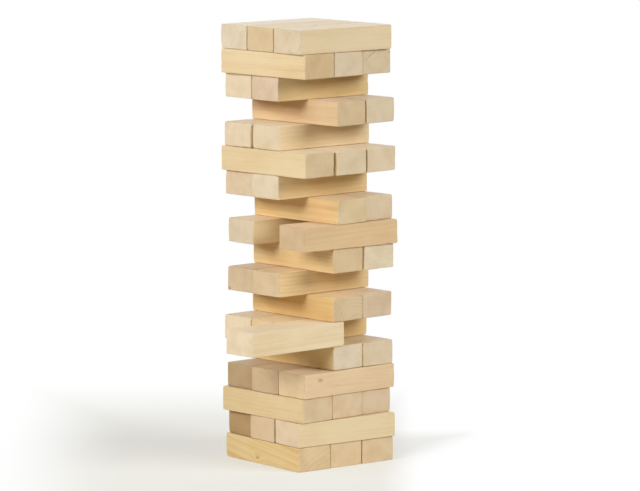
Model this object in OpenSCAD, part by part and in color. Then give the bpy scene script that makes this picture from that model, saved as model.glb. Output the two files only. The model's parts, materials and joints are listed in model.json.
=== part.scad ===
// Block stacking tower: layers of plain wooden blocks, each layer laid across the one below it.
// Some places are empty because their blocks have been taken, and one block is drawn part of the
// way out of its place. X runs along the blocks of the even layers, Y along those of the odd ones.
// The origin is the middle of the lowest layer's underside.

/* [Block] */
// Width of a block, which is a little under a third of its length
block_width = 24.5; // [12:0.5:60]
// Height of a block
block_height = 15; // [8:0.5:40]
// Radius that sanding has left on every edge of a block
edge_round = 0.8; // [0.1:0.1:3]

/* [Stacking] */
// Gap between two blocks that lie side by side in straight order
side_gap = 0.5; // [0:0.1:3]
// Gap between two layers, whose planed faces are never quite flat
layer_gap = 0.1; // [0.05:0.05:0.5]
// Length of the drawn block that is still held between the middle blocks above and below it
grip = 8; // [2:0.5:12]
// How far one step moves a block out of line, along its own length
out_step = 0.5; // [0:0.1:1.5]
// Angle in degrees by which one step turns a layer on the one below
turn_step = 0.5; // [0:0.1:1.5]

/* [Hidden] */
$fn = 48;

// Three blocks fill a layer, and together they are as wide as one block is long
places_in_layer = 3;
pitch = block_width + side_gap;
block_length = places_in_layer * pitch;
layer_pitch = block_height + layer_gap;

// How far the drawn block is out of its place along X, with its inner end still held by the grip
drawn_out = -(block_width / 2 + block_length / 2 - grip);

// Shades of bare wood
pale = "#ecd9b2";
straw = "#e8cf9c";
rosy = "#e2c5a0";
golden = "#e3c088";
tawny = "#d2b084";

// Layers from the lowest up. Each gives the steps by which it is turned, and then its blocks: the
// place across the layer, -1, 0 or 1, the steps that the block stands out along its length, how
// many side gaps it has moved aside, its shade, and for the drawn block how far it is drawn.
// Neighbours that have closed up differ by -0.8 side gaps, and would touch at -1. A place that
// isn't listed is empty.
layers = [
    [-9, [[-1, -1, 0.6, straw], [0, 0, 0.2, straw], [1, 0, 0.6, straw]]],
    [-10, [[-1, 2, -2, pale], [0, 1, -1.6, straw], [1, 4, -2.2, tawny]]],
    [0, [[-1, 2, -1, straw], [0, 2, -1.8, straw], [1, 3, -2.6, rosy]]],
    [0, [[-1, 1, -0.4, rosy], [0, 1, -0.8, tawny], [1, 4, -1.6, tawny]]],
    [2, [[0, 3, -0.8, pale], [1, 0, -1.6, pale]]],
    [0, [[-1, 0, 0, pale, drawn_out], [0, 1, 0, straw], [1, 1, 0, pale]]],
    [1, [[0, 2, -0.8, golden], [1, 2, -1.6, rosy]]],
    [0, [[0, 3, -1.2, straw], [1, 5, -1.4, rosy]]],
    [-1, [[0, 1, -0.8, golden], [1, 0, -0.2, pale]]],
    [-5, [[-1, 5, -2, tawny], [1, 5, -2, pale]]],
    [4, [[0, -2, 0.2, golden], [1, 2, -0.4, pale]]],
    [1, [[0, 1, -0.8, pale], [1, 2, -1.4, rosy]]],
    [4, [[-1, 2, -1.8, straw], [0, -1, 0.6, pale], [1, -1, 1.8, pale]]],
    [-1, [[0, 3, -1.4, pale], [1, 0, -1.6, pale]]],
    [6, [[0, 0, -0.8, rosy], [1, 0, 0.4, pale]]],
    [-1, [[0, 2, -1, pale], [1, 2, -0.8, pale]]],
    [4, [[-1, 2, -2, straw], [0, 3, -1.6, pale], [1, 4, -2.4, pale]]],
    [-2, [[-1, -3, 1.2, pale], [0, -3, 1.6, straw], [1, -3, 1.6, pale]]],
];

// Every block as [layer, angle of its layer, place, distance out of line, distance aside, shade]
blocks = [
    for (layer = [1 : len(layers)])
        for (b = layers[layer - 1][1])
            [
                layer,
                layers[layer - 1][0] * turn_step,
                b[0],
                b[1] * out_step + (len(b) > 4 ? b[4] : 0),
                b[2] * side_gap,
                b[3]
            ]
];

function along_x(layer) = layer % 2 == 0;
function place_name(layer, place) =
    place == 0 ? "middle" :
    along_x(layer) ? (place < 0 ? "front" : "back") :
    (place < 0 ? "left" : "right");
function block_name(b) = str("block_", b[0] < 10 ? "0" : "", b[0], "_", place_name(b[0], b[2]));

// Rectangle with its corners rounded
module eased_face(wide, high) {
    square([wide - 2 * edge_round, high], center = true);
    square([wide, high - 2 * edge_round], center = true);
    for (x = [-1, 1], y = [-1, 1])
        translate([x * (wide / 2 - edge_round), y * (high / 2 - edge_round)])
            circle(edge_round);
}

// One block along X, centred, with all of its edges rounded
module wooden_block() {
    intersection() {
        rotate([90, 0, 90])
            linear_extrude(block_length, center = true)
                eased_face(block_width, block_height);
        rotate([90, 0, 0])
            linear_extrude(block_width, center = true)
                eased_face(block_length, block_height);
        linear_extrude(block_height, center = true)
            eased_face(block_length, block_width);
    }
}

// One block where it lies in the tower
module placed_block(b) {
    layer = b[0];
    along = b[3];
    across = b[2] * pitch + b[4];
    height = block_height / 2 + (layer - 1) * layer_pitch;
    color(b[5])
        rotate([0, 0, b[1]])
            translate(along_x(layer) ? [along, across, height] : [across, along, height])
                rotate([0, 0, along_x(layer) ? 0 : 90])
                    wooden_block();
}

for (i = [0 : len(blocks) - 1])
    placed_block(blocks[i]);
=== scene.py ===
# A tower of plain wooden blocks, part way through a game, dressed for rendering.
#
# Every block is sawn out of a log in the shader: its mesh carries the place that each point had in
# the block and in the log, so growth rings run through the block and meet at its edges.
import itertools
import json
import math
import random

import bpy
import numpy as np
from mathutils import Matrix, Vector

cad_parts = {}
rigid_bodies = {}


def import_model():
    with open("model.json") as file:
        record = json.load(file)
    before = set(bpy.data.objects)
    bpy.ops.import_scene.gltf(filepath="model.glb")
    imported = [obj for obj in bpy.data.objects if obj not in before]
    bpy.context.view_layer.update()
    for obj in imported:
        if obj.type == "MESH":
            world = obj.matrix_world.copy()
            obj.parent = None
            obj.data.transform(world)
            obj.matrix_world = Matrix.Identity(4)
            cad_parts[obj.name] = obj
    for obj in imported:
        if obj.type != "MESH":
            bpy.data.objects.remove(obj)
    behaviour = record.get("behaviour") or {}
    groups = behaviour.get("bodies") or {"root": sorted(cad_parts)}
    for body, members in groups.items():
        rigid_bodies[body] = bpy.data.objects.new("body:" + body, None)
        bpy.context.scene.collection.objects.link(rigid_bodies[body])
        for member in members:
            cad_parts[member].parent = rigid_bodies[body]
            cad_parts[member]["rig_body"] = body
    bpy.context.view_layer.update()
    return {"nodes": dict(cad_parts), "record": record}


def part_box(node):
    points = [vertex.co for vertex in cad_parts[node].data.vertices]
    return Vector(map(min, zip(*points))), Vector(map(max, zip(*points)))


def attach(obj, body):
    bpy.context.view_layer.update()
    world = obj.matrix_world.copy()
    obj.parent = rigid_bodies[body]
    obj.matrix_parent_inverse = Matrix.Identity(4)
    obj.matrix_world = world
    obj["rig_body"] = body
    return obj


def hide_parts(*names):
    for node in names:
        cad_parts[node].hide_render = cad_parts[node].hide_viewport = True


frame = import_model()

MM = 0.001


# Camera

# Width of the photograph and focal length of its lens, both in pixels. The lens, the place and the
# two angles were fitted to corners of the tower's blocks.
PICTURE_WIDTH = 640
FOCAL_LENGTH = 4339
SENSOR_WIDTH_IN_MM = 36.0
CAMERA_PLACE = (-1.7931, -1.9828, 0.4772)
CAMERA_HEADING = math.radians(47.727)
CAMERA_DIP = math.radians(7.319)
# How far the camera sees, in metres
VIEW_END = 50


def set_up_camera():
    """The camera stands a long way off, a little above the tower, and looks at its front corner."""
    data = bpy.data.cameras.new("camera")
    data.sensor_width = SENSOR_WIDTH_IN_MM
    data.lens = FOCAL_LENGTH * SENSOR_WIDTH_IN_MM / PICTURE_WIDTH
    data.clip_end = VIEW_END
    camera = bpy.data.objects.new("camera", data)
    camera.location = CAMERA_PLACE
    camera.rotation_euler = (math.pi / 2 - CAMERA_DIP, 0, CAMERA_HEADING - math.pi / 2)
    bpy.context.scene.collection.objects.link(camera)
    bpy.context.scene.camera = camera


# Shader maths


class Value:
    """A socket that holds a number. Arithmetic on it adds Math nodes."""

    def __init__(self, nodes, socket):
        self.nodes = nodes
        self.socket = socket

    def math(self, operation, *others):
        return self.nodes.math(operation, self, *others)

    def __add__(self, other):
        return self.math("ADD", other)

    def __radd__(self, other):
        return self.math("ADD", other)

    def __sub__(self, other):
        return self.math("SUBTRACT", other)

    def __rsub__(self, other):
        return self.nodes.math("SUBTRACT", other, self)

    def __mul__(self, other):
        return self.math("MULTIPLY", other)

    def __rmul__(self, other):
        return self.math("MULTIPLY", other)

    def __truediv__(self, other):
        return self.math("DIVIDE", other)

    def __pow__(self, other):
        return self.math("POWER", other)

    def __abs__(self):
        return self.math("ABSOLUTE")

    def least(self, other):
        return self.math("MINIMUM", other)

    def most(self, other):
        return self.math("MAXIMUM", other)


class Nodes:
    """The empty node tree of a material or of the world, and what is added to it."""

    def __init__(self, owner):
        owner.use_nodes = True
        self.tree = owner.node_tree
        self.tree.nodes.clear()

    def add(self, kind, settings=None, sockets=None):
        """A new node of that kind. Its settings are made first, then its sockets are set or linked."""
        node = self.tree.nodes.new(kind)
        for name, value in (settings or {}).items():
            setattr(node, name, value)
        for name, value in (sockets or {}).items():
            socket = node.inputs[name] if isinstance(name, int) else find_socket(node.inputs, name)
            if isinstance(value, Value):
                self.tree.links.new(value.socket, socket)
            elif isinstance(value, bpy.types.NodeSocket):
                self.tree.links.new(value, socket)
            else:
                socket.default_value = value
        return node

    def math(self, operation, *values):
        sockets = dict(enumerate(values))
        node = self.add("ShaderNodeMath", {"operation": operation}, sockets)
        return Value(self, node.outputs[0])

    def step(self, value, low, high):
        """0 below low and 1 above high, with a smooth rise between them."""
        settings = {"interpolation_type": "SMOOTHSTEP"}
        sockets = {"Value": value, "From Min": low, "From Max": high}
        return Value(self, self.add("ShaderNodeMapRange", settings, sockets).outputs["Result"])

    def mesh_vector(self, name):
        """What a mesh stores for each of its points."""
        return self.add("ShaderNodeAttribute", {"attribute_name": name}).outputs["Vector"]

    def piece_number(self, name):
        """A number that each piece has as one of its own properties."""
        settings = {"attribute_type": "OBJECT", "attribute_name": name}
        return Value(self, self.add("ShaderNodeAttribute", settings).outputs["Fac"])

    def piece_vector(self, name):
        """Three numbers that each piece has as one of its own properties."""
        settings = {"attribute_type": "OBJECT", "attribute_name": name}
        return self.add("ShaderNodeAttribute", settings).outputs["Vector"]

    def parts(self, vector):
        """The three numbers of a vector."""
        node = self.add("ShaderNodeSeparateXYZ", None, {"Vector": vector})
        return [Value(self, node.outputs[i]) for i in range(3)]

    def scaled(self, vector, scale):
        """A vector or a colour, with each of its three numbers scaled by one of its own."""
        settings = {"operation": "MULTIPLY"}
        return self.add("ShaderNodeVectorMath", settings, {0: vector, 1: scale}).outputs["Vector"]

    def difference(self, vector, other):
        settings = {"operation": "SUBTRACT"}
        return self.add("ShaderNodeVectorMath", settings, {0: vector, 1: other}).outputs["Vector"]

    def along(self, vector, direction):
        """How far the vector reaches in that direction."""
        settings = {"operation": "DOT_PRODUCT"}
        node = self.add("ShaderNodeVectorMath", settings, {0: vector, 1: direction})
        return Value(self, node.outputs["Value"])

    def length(self, vector):
        node = self.add("ShaderNodeVectorMath", {"operation": "LENGTH"}, {0: vector})
        return Value(self, node.outputs["Value"])

    def noise(self, vector, scale, detail=2.0, roughness=0.5):
        """Noise from 0 to 1, about 0.5, that repeats about scale times a millimetre on each axis."""
        sockets = {
            "Vector": self.scaled(vector, scale),
            "Scale": 1.0,
            "Detail": detail,
            "Roughness": roughness,
        }
        return Value(self, self.add("ShaderNodeTexNoise", None, sockets).outputs["Fac"])

    def random(self, value):
        """A number from 0 to 1 that differs for each whole value."""
        settings = {"noise_dimensions": "1D"}
        return Value(self, self.add("ShaderNodeTexWhiteNoise", settings, {"W": value}).outputs["Value"])

    def blend(self, first, second, share):
        """The first colour where share is 0 and the second where it is 1."""
        sockets = {"Factor_Float": share, "A_Color": first, "B_Color": second}
        node = self.add("ShaderNodeMix", {"data_type": "RGBA"}, sockets)
        return find_socket(node.outputs, "Result_Color")

    def mix(self, first, second, share):
        """The first shader where share is 0 and the second where it is 1."""
        sockets = {0: share, 1: first, 2: second}
        return self.add("ShaderNodeMixShader", None, sockets).outputs["Shader"]

    def seen_directly(self):
        """1 for what the camera sees by itself, in a mirror or through glass, and otherwise 0."""
        ray = self.add("ShaderNodeLightPath").outputs
        seen = Value(self, ray["Is Camera Ray"])
        return seen.most(ray["Is Glossy Ray"]).most(ray["Is Transmission Ray"])


def find_socket(sockets, name):
    """A socket by its identifier, which is unique where a Mix node's names aren't, or by its name."""
    for socket in sockets:
        if socket.identifier == name:
            return socket
    return sockets[name]


# Wood

# Colours of each wood: side grain between its rings and in their dark edge, then the same of the
# end grain, which is greyer because its open pores take in dust and light.
WOODS = {
    "pale_wood": ((0.81, 0.66, 0.42), (0.69, 0.48, 0.24), (0.76, 0.62, 0.425), (0.62, 0.46, 0.27)),
    "straw_wood": ((0.80, 0.62, 0.345), (0.67, 0.43, 0.18), (0.73, 0.56, 0.345), (0.59, 0.41, 0.21)),
    "rosy_wood": ((0.77, 0.58, 0.355), (0.64, 0.40, 0.21), (0.70, 0.54, 0.355), (0.56, 0.39, 0.22)),
    "golden_wood": ((0.78, 0.57, 0.285), (0.63, 0.37, 0.14), (0.70, 0.53, 0.31), (0.55, 0.38, 0.18)),
    "tawny_wood": ((0.69, 0.49, 0.27), (0.54, 0.33, 0.16), (0.60, 0.44, 0.26), (0.47, 0.31, 0.16)),
}
# What heartwood leaves of the red, green and blue of the wood, and the colour of the line at its end
HEART_TINT = (0.87, 0.8, 0.71)
HEART_LINE = (0.36, 0.22, 0.12, 1)
KNOT_RIM = (0.50, 0.26, 0.09, 1)
KNOT_HEART = (0.17, 0.08, 0.03, 1)

# How often each kind of mark repeats in a millimetre, twice across the grain and then along it
FIBRES = (5.5, 5.5, 0.09)
STREAKS = (0.7, 0.7, 0.01)
VESSELS = (3.1, 3.1, 0.14)
PORES = (2.4, 2.4, 0.3)
BLOTCHES = (0.12, 0.12, 0.04)
CLOUDS = (0.045, 0.045, 0.018)
WANDERING = (0.05, 0.05, 0.007)
BREAKS_IN_HEART_LINE = (0.12, 0.12, 0.02)
# Noise from which a mark starts, and at which it is full
VESSEL_RISE = (0.64, 0.76)
PORE_RISE = (0.52, 0.75)
BREAK_RISE = (0.35, 0.55)
# How far each kind of mark turns the pale colour into the dark one, on the sides and on the ends,
# how far both are turned without any, and how far a vessel darkens a side after that
SIDE_MARKS = {"streak": 0.8, "fibre": 0.5, "cloud": 0.8, "blotch": 0.6}
SIDE_DARKNESS = 0.12
END_MARKS = {"cloud": 0.8, "blotch": 1.2, "pores": 0.25, "fibre": 0.4}
END_DARKNESS = 0.1
VESSEL_DARKNESS = 0.3
# How rough the wood is, and how much rougher each kind of mark makes it
ROUGHNESS = 0.38
ROUGH_MARKS = {"fibre": 0.25, "end_grain": 0.2, "vessel": 0.1}
# Share of the grain's depth by which each kind of mark stands up, or is sunk where it is negative
RELIEF = {"fibre": 0.5, "late": 0.2, "vessel": -0.7, "end_pores": -0.8}

# Stretches of a ring, from 0 to 1, over which its wood darkens and over which the next ring sets in
LATE_WOOD = (0.2, 0.88)
NEXT_RING = (0.9, 1.0)
# Depth of the faintest ring, where that of the strongest is 1
FAINTEST_RING = 0.35
# A knot is longer along the block than across it. The rings bend round it by so many millimetres,
# and out to so many times its size.
KNOT_SHAPE = (0.55, 1, 1)
KNOT_BEND = 3
KNOT_REACH = 3.5
# How the colour of a knot falls off from its middle, and how much of it there is in the middle
KNOT_FALL = 0.6
KNOT_DEPTH = 0.5

# Millimetres from an end over which end grain turns into side grain
END_GRAIN = (0.1, 0.7)
# Millimetres past the last ring of heartwood over which it fades, where its line lies, and how far
# that line fades to both sides
HEART_FADE = (0.0, 1.2)
HEART_LINE_PLACE = 0.3
HEART_LINE_FADE = (0.0, 0.7)
# Millimetres from an edge over which the rubbed wood fades, and how dark it is
RUBBED_FADE = (0.0, 0.9)
RUBBED_DEPTH = 0.06
# Depth of the grain in millimetres, of which the bump takes a share
GRAIN_DEPTH = 0.12
GRAIN_SHARE = 0.35


def distances_inside(f, spot):
    """How far a point lies from the nearer end of its block, and from its nearest edge."""
    along, across, up = [abs(v) for v in f.parts(spot)]
    half_along, half_across, half_up = f.parts(f.piece_vector("half_size"))
    from_end = half_along - along
    from_side = half_across - across
    from_top = half_up - up
    nearer = from_end.least(from_side)
    farther = from_end.most(from_side)
    # The edge lies where two faces meet, so it is as far off as the second nearest face
    from_edge = nearer.most(farther.least(from_top))
    return from_end, from_edge


def growth_rings(f, spot, log):
    """How far a point lies from the pith, how late in its ring it grew, and how deep in a knot.

    The rings wander a little and run round a knot.
    """
    log_x, log_y, _ = f.parts(log)
    from_knot = f.length(f.scaled(f.difference(spot, f.piece_vector("knot")), KNOT_SHAPE))
    from_knot = from_knot / f.piece_number("knot_size")
    knot = 1 - f.step(from_knot, 0.0, 1.0)
    round_knot = 1 - f.step(from_knot, 0.0, KNOT_REACH)
    wander = f.noise(log, WANDERING) - 0.5
    radius = (log_x * log_x + log_y * log_y) ** 0.5 + round_knot * KNOT_BEND
    radius = radius + wander * f.piece_number("ring_wander")
    rings = radius / f.piece_number("ring_gap")
    ring = rings.math("FLOOR")
    through = rings - ring
    late = f.step(through, *LATE_WOOD) * (1 - f.step(through, *NEXT_RING))
    late = late * (FAINTEST_RING + (1 - FAINTEST_RING) * f.random(ring))
    return radius, late, knot


def with_heartwood(f, colour, log, radius, end_grain):
    """The colour, darker within the block's heartwood, with a broken line where that ends."""
    past_heart = radius - f.piece_number("heart_radius")
    heart = (1 - f.step(past_heart, *HEART_FADE)) * f.piece_number("heart_depth")
    line = 1 - f.step(abs(past_heart - HEART_LINE_PLACE), *HEART_LINE_FADE)
    line = line * f.piece_number("heart_line") * end_grain
    line = line * f.step(f.noise(log, BREAKS_IN_HEART_LINE), *BREAK_RISE)
    colour = f.blend(colour, f.scaled(colour, HEART_TINT), heart)
    return f.blend(colour, HEART_LINE, line)


def grain_marks(f, log):
    """Fibres, broad streaks, short dark vessels, pores and slow changes of tone, by their names.

    Vessels and pores go from 0 to 1, and the others lie on both sides of 0.
    """
    return {
        "fibre": f.noise(log, FIBRES, detail=3, roughness=0.6) - 0.5,
        "streak": f.noise(log, STREAKS, detail=3) - 0.5,
        "vessel": f.step(f.noise(log, VESSELS, detail=1), *VESSEL_RISE),
        "pores": f.step(f.noise(log, PORES, roughness=0.7), *PORE_RISE),
        "cloud": f.noise(log, CLOUDS) - 0.5,
        "blotch": f.noise(log, BLOTCHES) - 0.5,
    }


def with_marks(start, marks, amounts):
    """The start, plus each mark that amounts names times its amount."""
    return sum((marks[name] * amount for name, amount in amounts.items()), start)


def wood(slot, side, side_dark, end, end_dark):
    """Bare, sanded wood, cut from a log whose rings and fibres follow the stored log places."""
    finish = bpy.data.materials.new(slot)
    f = Nodes(finish)
    spot = f.mesh_vector("spot")
    log = f.mesh_vector("log")
    from_end, from_edge = distances_inside(f, spot)
    end_grain = 1 - f.step(from_end, *END_GRAIN)
    radius, late, knot = growth_rings(f, spot, log)
    marks = grain_marks(f, log)
    marks.update(late=late, end_grain=end_grain, end_pores=marks["pores"] * end_grain)

    # Sides, ends and heartwood
    dark = with_marks(late * f.piece_number("ring_depth"), marks, SIDE_MARKS) + SIDE_DARKNESS
    side_colour = f.blend(side, side_dark, dark)
    side_colour = f.blend(side_colour, side_dark, marks["vessel"] * VESSEL_DARKNESS)
    dark_end = with_marks(late * f.piece_number("end_depth"), marks, END_MARKS) + END_DARKNESS
    end_colour = f.scaled(f.blend(end, end_dark, dark_end), f.piece_vector("end_tint"))
    colour = f.blend(side_colour, end_colour, end_grain)
    colour = with_heartwood(f, colour, log, radius, end_grain)

    # Knot, rubbed edges, and the tone of the whole block, whose light and warmth on some blocks are
    # painted shadow, painted light or painted warm shade
    knot_colour = f.blend(KNOT_RIM, KNOT_HEART, knot)
    colour = f.blend(colour, knot_colour, knot ** KNOT_FALL * KNOT_DEPTH)
    rubbed = (1 - f.step(from_edge, *RUBBED_FADE)) * RUBBED_DEPTH
    colour = f.blend(colour, side_dark, rubbed)
    tone = {"Saturation": f.piece_number("warmth"), "Value": f.piece_number("light")}
    colour = f.add("ShaderNodeHueSaturation", None, {**tone, "Color": colour}).outputs["Color"]

    height = with_marks(0, marks, RELIEF)
    grain = {"Strength": GRAIN_SHARE, "Distance": GRAIN_DEPTH * MM, "Height": height}
    shader = f.add(
        "ShaderNodeBsdfPrincipled",
        None,
        {
            "Base Color": colour,
            "Roughness": with_marks(ROUGHNESS, marks, ROUGH_MARKS),
            "Normal": f.add("ShaderNodeBump", None, grain).outputs["Normal"],
            "Specular IOR Level": 0.05,
            "Sheen Weight": 0.32,
            "Sheen Roughness": 0.3,
        },
    )
    f.add("ShaderNodeOutputMaterial", None, {"Surface": shader.outputs["BSDF"]})
    return finish


def opaque(colour):
    return (*colour, 1.0)


# Blocks, with lengths in millimetres

# Radius that sanding has left on the edges of a block, how much more or less of it there is along
# them, and over what length that changes
EDGE_ROUND = 0.5
EDGE_ROUND_SPREAD = 0.2
EDGE_ROUND_CHANGE = 30
# How much larger it is at a corner, and how far from the corner that reaches
CORNER_ROUND = (0.0, 0.5)
CORNER_REACH = (2, 4)
# How far a face is sunk, with up to as much more or less of it, and over what length that changes
FACE_SINK = 0.03
FACE_CHANGE = 25
# Dents in the edges of a block: how many there are, how wide and how deep they are, and the share
# of an edge that they may lie on
DENTS = (2, 4)
DENT_WIDTH = (0.9, 1.8)
DENT_DEPTH = (0.15, 0.4)
DENT_SPAN = 0.9
# How many waves make up a smooth change, and their lengths, where 1 is the length asked for
WAVES = 4
WAVE_LENGTHS = (0.7, 1.6)

# Distances from an edge at which its curve has rows of points, and the spacing of the other rows
EDGE_ROWS = (0.0, 0.2, 0.4, 0.7, 1.2)
ROW_SPACING = 2.4

# How a block lay in its log: how far from the pith, how many degrees off the grain it usually was
# sawn, and up to how far along the log
PITH_DISTANCE = (22, 75)
SLANT = 1.2
LOG_LENGTH = 4000
# The wood of most blocks: how far apart the rings are, how dark they are, and on the ends as a share
# of that, how far they wander, and how light and how warm the whole block is
RING_GAP = (1.6, 3.6)
RING_DEPTH = (0.1, 0.35)
END_RING_SHARE = 0.5
RING_WANDER = 5.0
LIGHT = (0.97, 1.03)
WARMTH = (0.95, 1.07)
NO_TINT = (1.0, 1.0, 1.0)
# A knot so far from the block that it doesn't show
FAR_KNOT = (0.0, 0.0, 500.0)

# What is different about the wood of the blocks that the photograph shows well, and the light and shade
# that are painted on some of them. The pith is where the middle of the log lies, across and up from the
# middle of the block. A knot lies along, across and up from there. The lean is how steeply the grain
# rises, in degrees. The end tint scales the red, green and blue of the end grain alone. On the blocks
# marked below, a lower light is painted shadow, a higher light is painted light on a side in the shade
# of a recess, and more warmth is painted warm shade.
SPECIAL = {
    "block_18_front": {"pith": (-5.9, -0.1), "ring_gap": 3.2, "ring_depth": 0.15,
                       "heart_radius": 6.4, "heart_line": 0.3, "light": 0.98},
    "block_18_middle": {"light": 0.97},
    "block_18_back": {"light": 1.02, "warmth": 0.88},
    "block_17_left": {"light": 1.02, "warmth": 0.92, "end_tint": (0.93, 0.87, 0.74)},
    "block_17_middle": {"light": 0.97},
    "block_17_right": {"pith": (-3.7, -9.2), "ring_gap": 3.2, "ring_depth": 0.2, "ring_wander": 1.0,
                       "heart_radius": 16.2, "heart_line": 0.7, "light": 0.93},
    # Painted warm shade: more warmth on the side below the overhang; the end tint takes the blue back
    # on the end
    "block_16_middle": {"light": 0.96, "warmth": 1.2, "end_tint": (1.0, 1.0, 1.12)},
    "block_16_back": {"light": 1.05, "warmth": 0.97},
    # Painted light: a lighter side in the shade of its recess, with an end tint that darkens the end
    # again
    "block_15_middle": {"light": 1.04, "end_tint": (0.94, 0.94, 0.87)},
    "block_15_right": {"light": 0.97, "warmth": 0.95},
    "block_14_back": {"light": 1.04, "warmth": 0.96},
    "block_13_left": {"warmth": 0.93, "end_tint": (0.98, 0.97, 0.9)},
    "block_13_middle": {"light": 1.0, "end_tint": (0.97, 0.98, 0.93)},
    # Painted light and painted warm shade on the side in its recess, with an end tint that takes part
    # of both back on the end
    "block_12_middle": {"light": 1.07, "warmth": 1.15, "end_tint": (0.93, 0.98, 1.08)},
    "block_12_back": {"light": 1.03, "warmth": 0.95},
    # Painted light: a lighter side in the shade of its recess, with an end tint that darkens the end a
    # little
    "block_11_middle": {"light": 1.09, "end_tint": (0.96, 0.99, 1.0)},
    "block_10_front": {"light": 1.08, "ring_depth": 0.1},
    # Painted light: a lighter side in part shade, with an end tint that darkens the end again
    "block_10_back": {"light": 1.04, "warmth": 1.05, "end_tint": (0.88, 0.9, 0.95)},
    # Painted light: a lighter side in the shade of its recess, with an end tint that darkens the end
    # again
    "block_09_middle": {"light": 1.05, "end_tint": (0.96, 0.96, 0.96)},
    "block_09_right": {"end_tint": (1.0, 1.05, 1.08)},
    # Painted light: a lighter side in the shade of its recess, with an end tint that darkens the end
    # again
    "block_08_middle": {"light": 1.03, "warmth": 1.0, "end_tint": (0.93, 0.93, 0.96)},
    "block_08_back": {"knot": (-37.5, 10.6, -6.4), "knot_size": 1.8, "light": 0.93},
    "block_07_middle": {"pith": (-6, -14), "ring_gap": 2.4, "ring_depth": 0.2, "end_depth": 0.4,
                        "end_tint": (1.0, 1.03, 1.15)},
    # Painted warm shade: more warmth on the side in its recess; the end tint takes it back on the end
    "block_05_middle": {"warmth": 1.25, "end_tint": (0.97, 1.04, 1.19)},
    "block_05_right": {"light": 0.95},
    "block_04_front": {"knot": (-24.8, -12.0, 3.3), "knot_size": 1.7, "light": 1.01,
                       "ring_depth": 0.12, "end_tint": (1.0, 0.97, 0.88)},
    # Painted shadow: the next three blocks are darker, as a shadow on the lower blocks at the left; the
    # end tint of the third takes it back off its end
    "block_04_middle": {"light": 0.93},
    "block_04_back": {"light": 0.84, "end_tint": (0.9, 0.87, 0.84)},
    "block_03_left": {"light": 0.86, "end_tint": (1.11, 1.12, 1.14)},
    "block_03_middle": {"end_tint": (0.98, 1.0, 1.1)},
    # Painted shadow in part: the next two blocks are darker, partly their own tone and partly a shadow
    # on the lower blocks at the left
    "block_02_front": {"light": 0.95, "ring_depth": 0.12, "end_tint": (0.96, 0.93, 0.94)},
    "block_02_middle": {"light": 0.92, "end_tint": (0.96, 0.94, 0.96)},
    "block_02_back": {"heart_radius": 1000.0, "heart_depth": 1.0, "light": 0.81},
    # Painted shadow on the side grain, which the end tint takes back off the end; the lean, rings and
    # knot are its own wood
    "block_01_left": {"lean": 7, "ring_depth": 0.5, "knot": (4.9, 12.2, -3.9), "knot_size": 1.3,
                      "light": 0.87, "warmth": 1.08, "end_tint": (1.13, 1.16, 1.2)},
}


def block_rows(half):
    """Places of the rows of points along one axis of a block, from one face to the other."""
    edge = [half - d for d in EDGE_ROWS]
    inner = edge[-1]
    count = max(2, round(2 * inner / ROW_SPACING))
    middle = [-inner + 2 * inner * i / count for i in range(1, count)]
    return [-e for e in edge] + middle + edge[::-1]


def block_skin(rows):
    """Points and faces of a box whose rows of points lie where rows says, as a closed skin."""
    counts = [len(r) for r in rows]
    index = {}
    points = []

    def point(*place):
        if place not in index:
            index[place] = len(points)
            points.append([rows[axis][place[axis]] for axis in range(3)])
        return index[place]

    faces = []
    for axis in range(3):
        u, v = (axis + 1) % 3, (axis + 2) % 3
        for level in (0, counts[axis] - 1):
            for i in range(counts[u] - 1):
                for j in range(counts[v] - 1):
                    corners = []
                    for du, dv in ((0, 0), (1, 0), (1, 1), (0, 1)):
                        place = [0, 0, 0]
                        place[axis], place[u], place[v] = level, i + du, j + dv
                        corners.append(point(*place))
                    faces.append(corners if level else corners[::-1])
    return np.array(points), faces


def waves(points, luck, size, length):
    """A smooth random number for each point, within size of 0, that changes over about length."""
    total = np.zeros(len(points))
    for _ in range(WAVES):
        direction = np.array([luck.gauss(0, 1) for _ in range(3)])
        direction *= 2 * math.pi / (length * np.linalg.norm(direction) * luck.uniform(*WAVE_LENGTHS))
        total += np.sin(points @ direction + luck.uniform(0, 2 * math.pi))
    return size * total / WAVES


def worn(points, half, luck):
    """The points of a sharp box, moved in to round its edges and to make its dents."""
    radius = EDGE_ROUND + waves(points, luck, EDGE_ROUND_SPREAD, EDGE_ROUND_CHANGE)
    for sides in itertools.product((-1, 1), repeat=3):
        from_corner = np.linalg.norm(points - half * sides, axis=1)
        near = np.exp(-(from_corner / luck.uniform(*CORNER_REACH)) ** 2)
        radius += near * luck.uniform(*CORNER_ROUND)
    radius = radius[:, None]
    core = np.clip(points, radius - half, half - radius)
    outward = points - core
    outward /= np.linalg.norm(outward, axis=1)[:, None]
    shaped = core + outward * radius
    sink = FACE_SINK + waves(points, luck, FACE_SINK, FACE_CHANGE)
    for _ in range(luck.randint(*DENTS)):
        axis = luck.randrange(3)
        dent = half * [luck.choice((-1, 1)) for _ in range(3)]
        dent[axis] = half[axis] * luck.uniform(-DENT_SPAN, DENT_SPAN)
        width = luck.uniform(*DENT_WIDTH)
        away = (np.linalg.norm(points - dent, axis=1) / width) ** 2
        sink = sink + luck.uniform(*DENT_DEPTH) * np.exp(-away)
    return shaped - outward * sink[:, None]


# Digits to which the heading of a face is rounded, and half a turn, cut to as many, so that faces
# on opposite sides get the same heading, give or take the last digit
HEADING_DIGITS = 4
HALF_TURN = 3.1415
# Most that the normal of an upright face rises
UPRIGHT = 0.01


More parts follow.
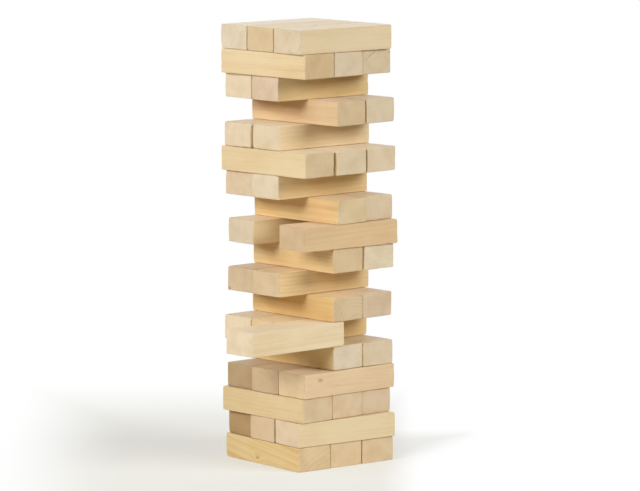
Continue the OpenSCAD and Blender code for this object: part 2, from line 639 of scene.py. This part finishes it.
def lie_of_block(node):
    """Where a block lies: its middle, its directions along, across and up, and its half sizes."""
    mesh = frame["nodes"][node].data
    areas = {}
    for face in mesh.polygons:
        if abs(face.normal.z) < UPRIGHT:
            heading = math.atan2(face.normal.y, face.normal.x) % math.pi
            heading = round(heading, HEADING_DIGITS) % HALF_TURN
            areas[heading] = areas.get(heading, 0) + face.area
    side = max(areas, key=areas.get)
    up = Vector((0, 0, 1))
    across = Vector((math.cos(side), math.sin(side), 0))
    along = across.cross(up)
    if along.x + along.y < 0:
        along, across = -along, -across
    low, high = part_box(node)
    middle = (low + high) / 2
    half = [max(abs((v.co - middle).dot(d)) for v in mesh.vertices) for d in (along, across, up)]
    return middle, (along, across, up), np.array(half) / MM


def log_places(points, luck, special):
    """Where the block's points lay in the log: two distances from its pith, and one along it."""
    angle = luck.uniform(0, 2 * math.pi)
    distance = luck.uniform(*PITH_DISTANCE)
    pith = special.get("pith", (distance * math.cos(angle), distance * math.sin(angle)))
    lean = math.tan(math.radians(special.get("lean", luck.gauss(0, SLANT))))
    swing = math.tan(math.radians(luck.gauss(0, SLANT)))
    grain = Vector((1, swing, lean)).normalized()
    sideways = Vector((0, 0, 1)).cross(grain).normalized()
    upward = grain.cross(sideways)
    from_pith = points - np.array([0, *pith])
    places = [from_pith @ np.array(d) for d in (sideways, upward, grain)]
    places[2] += luck.uniform(0, LOG_LENGTH)
    return np.stack(places, 1)


def store(mesh, name, vectors):
    """Stores a vector for each point of the mesh, which the shader reads by that name."""
    layer = mesh.attributes.new(name, "FLOAT_VECTOR", "POINT")
    layer.data.foreach_set("vector", vectors.astype(np.float32).ravel())


def give_wood(block, half, luck, special):
    """Gives a block the numbers of its wood, which the shader reads by their names. On some blocks its
    light, warmth and end tint are painted shadow, painted light or painted warm shade.
    """
    usual = {
        "ring_gap": luck.uniform(*RING_GAP),
        "ring_depth": luck.uniform(*RING_DEPTH),
        "ring_wander": RING_WANDER,
        "light": luck.uniform(*LIGHT),
        "warmth": luck.uniform(*WARMTH),
        "end_tint": NO_TINT,
        "knot": FAR_KNOT,
        "knot_size": 1.0,
        "heart_radius": 0.0,
        "heart_line": 0.0,
        "heart_depth": 0.0,
    }
    for name, value in usual.items():
        block[name] = special.get(name, value)
    block["end_depth"] = special.get("end_depth", block["ring_depth"] * END_RING_SHARE)
    block["half_size"] = [float(h) for h in half]


def wooden_block(node, finish):
    """One block, with worn edges, that stands for its node."""
    luck = random.Random(node)
    special = SPECIAL.get(node, {})
    middle, directions, half = lie_of_block(node)
    points, faces = block_skin([block_rows(h) for h in half])
    points = worn(points, half, luck)
    placed = points * MM @ np.array(directions) + np.array(middle)

    mesh = bpy.data.meshes.new("wooden_" + node)
    mesh.from_pydata(placed.tolist(), [], faces)
    mesh.shade_smooth()
    store(mesh, "spot", points)
    store(mesh, "log", log_places(points, luck, special))
    mesh.materials.append(finish)
    block = bpy.data.objects.new("wooden_" + node, mesh)
    bpy.context.scene.collection.objects.link(block)
    give_wood(block, half, luck, special)
    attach(block, frame["nodes"][node]["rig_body"])
    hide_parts(node)


def stack_blocks():
    """A block for each node, in the wood that the record names for it."""
    finishes = {slot: wood(slot, *map(opaque, colours)) for slot, colours in WOODS.items()}
    for part in frame["record"]["subparts"]:
        slot = part["material_slot"]
        wooden_block(part["node"], finishes[slot])


# Floor and light, with lengths in metres

FLOOR_HALF_WIDTH = 6.0
# Directions on the floor that lead to the right and away in the photograph
TO_THE_RIGHT = (math.sin(CAMERA_HEADING), -math.cos(CAMERA_HEADING), 0)
AHEAD = (math.cos(CAMERA_HEADING), math.sin(CAMERA_HEADING), 0)
# Distances from the tower over which the floor turns into the plain white of the room
FADE_LEFT = (0.11, 0.2)
FADE_RIGHT = (0.08, 0.11)
FADE_NEAR = (0.18, 0.34)
FADE_AHEAD = (0.09, 0.3)
# From closer by on the right it is white too, but for a pale wedge of shadow that leads back from
# the tower: its share of white, where it starts, how it slants, and where its two sides fade
WEDGE_PALENESS = 0.45
WEDGE_START = (0.04, 0.07)
WEDGE_SLOPE = 0.42
WEDGE_FRONT = (0.045, 0.08)
WEDGE_BACK = (0.06, 0.11)
# Distances over which the paper that lights the blocks from below ends in a darker room
PAPER_END = (0.3, 0.8)
# Share of the floor's look that takes light and shadow, and the glow that the rest adds to it
LIT_SHARE = 0.47
FLOOR_GLOW = 0.41
PAPER = (0.8, 0.8, 0.79, 1)
NEAR_PAPER = (1, 0.997, 0.94, 1)
DARK_ROOM = (0.12, 0.12, 0.12, 1)
WHITE = (1, 1, 1, 1)


def paper_floor():
    """Pale paper. Seen directly it is nearly white round the tower, and white far off."""
    paper = bpy.data.materials.new("paper")
    f = Nodes(paper)
    place = f.add("ShaderNodeNewGeometry").outputs["Position"]
    from_tower = f.length(place)
    right = f.along(place, TO_THE_RIGHT)
    ahead = f.along(place, AHEAD)
    paper_end = f.blend(PAPER, DARK_ROOM, f.step(from_tower, *PAPER_END))
    plain = f.add("ShaderNodeBsdfDiffuse", None, {"Color": paper_end}).outputs[0]
    lit = f.add("ShaderNodeBsdfDiffuse", None, {"Color": NEAR_PAPER}).outputs[0]
    strength = FLOOR_GLOW / (1 - LIT_SHARE)
    glow = f.add("ShaderNodeEmission", None, {"Color": NEAR_PAPER, "Strength": strength})
    white = f.add("ShaderNodeEmission", None, {"Color": WHITE, "Strength": 1.0}).outputs[0]
    near_look = f.mix(glow.outputs[0], lit, LIT_SHARE)
    sideways = f.step(0 - right, *FADE_LEFT).most(f.step(right, *FADE_RIGHT))
    lengthways = f.step(0 - ahead, *FADE_NEAR).most(f.step(ahead, *FADE_AHEAD))
    before_wedge = f.step(right - ahead * WEDGE_SLOPE, *WEDGE_FRONT)
    beside_wedge = before_wedge.most(f.step(ahead, *WEDGE_BACK))
    paleness = WEDGE_PALENESS + (1 - WEDGE_PALENESS) * beside_wedge
    wedge = paleness * f.step(right, *WEDGE_START)
    look = f.mix(near_look, white, sideways.most(lengthways).most(wedge))
    floor_shader = f.mix(plain, look, f.seen_directly())
    f.add("ShaderNodeOutputMaterial", None, {"Surface": floor_shader})

    mesh = bpy.data.meshes.new("paper_floor")
    half = FLOOR_HALF_WIDTH
    corners = [(-half, -half, 0), (half, -half, 0), (half, half, 0), (-half, half, 0)]
    mesh.from_pydata(corners, [], [(0, 1, 2, 3)])
    mesh.materials.append(paper)
    floor = bpy.data.objects.new("paper_floor", mesh)
    bpy.context.scene.collection.objects.link(floor)


MIDDLE_OF_TOWER = Vector((0, 0, 0.135))
LAMP_DISTANCE = 2.0
# Each lamp's heading and height in degrees, its width and height in metres, and its power in watts
SOFTBOXES = (
    ("left_softbox", 189, 23, 0.85, 0.65, 24.2),
    ("left_side_softbox", 162, 23, 0.5, 0.5, 5),
    ("far_left_softbox", 130, 30, 0.5, 0.5, 6.5),
    ("right_softbox", 293, 25, 1.3, 0.75, 27.6),
    ("back_softbox", 48, 48, 1.2, 0.8, 3),
    ("low_back_right_softbox", 5, 6, 0.8, 0.5, 6),
    ("low_back_left_softbox", 85, 6, 0.8, 0.5, 6),
)
ROOM_LIGHT = 0.1


def softbox(name, heading, height, width, tall, power):
    """A wide lamp at that heading and height, in degrees as seen from the tower, turned to it."""
    data = bpy.data.lights.new(name, "AREA")
    data.shape = "RECTANGLE"
    data.size = width
    data.size_y = tall
    data.energy = power
    lamp = bpy.data.objects.new(name, data)
    heading, height = math.radians(heading), math.radians(height)
    level = math.cos(height)
    direction = Vector((level * math.cos(heading), level * math.sin(heading), math.sin(height)))
    lamp.location = MIDDLE_OF_TOWER + LAMP_DISTANCE * direction
    lamp.rotation_euler = (-direction).to_track_quat("-Z", "Y").to_euler()
    bpy.context.scene.collection.objects.link(lamp)


def light_studio():
    """A strong softbox for each of the two sides that show, weaker ones round them, and a dim room.

    The room is white only where it is seen directly.
    """
    for lamp in SOFTBOXES:
        softbox(*lamp)
    world = bpy.data.worlds.new("studio")
    w = Nodes(world)
    room = w.add("ShaderNodeBackground", None, {"Color": WHITE, "Strength": ROOM_LIGHT}).outputs[0]
    white = w.add("ShaderNodeBackground", None, {"Color": WHITE, "Strength": 1.0}).outputs[0]
    w.add("ShaderNodeOutputWorld", None, {"Surface": w.mix(room, white, w.seen_directly())})
    bpy.context.scene.world = world


set_up_camera()
stack_blocks()
paper_floor()
light_studio()
bpy.context.scene.view_settings.view_transform = "Standard"
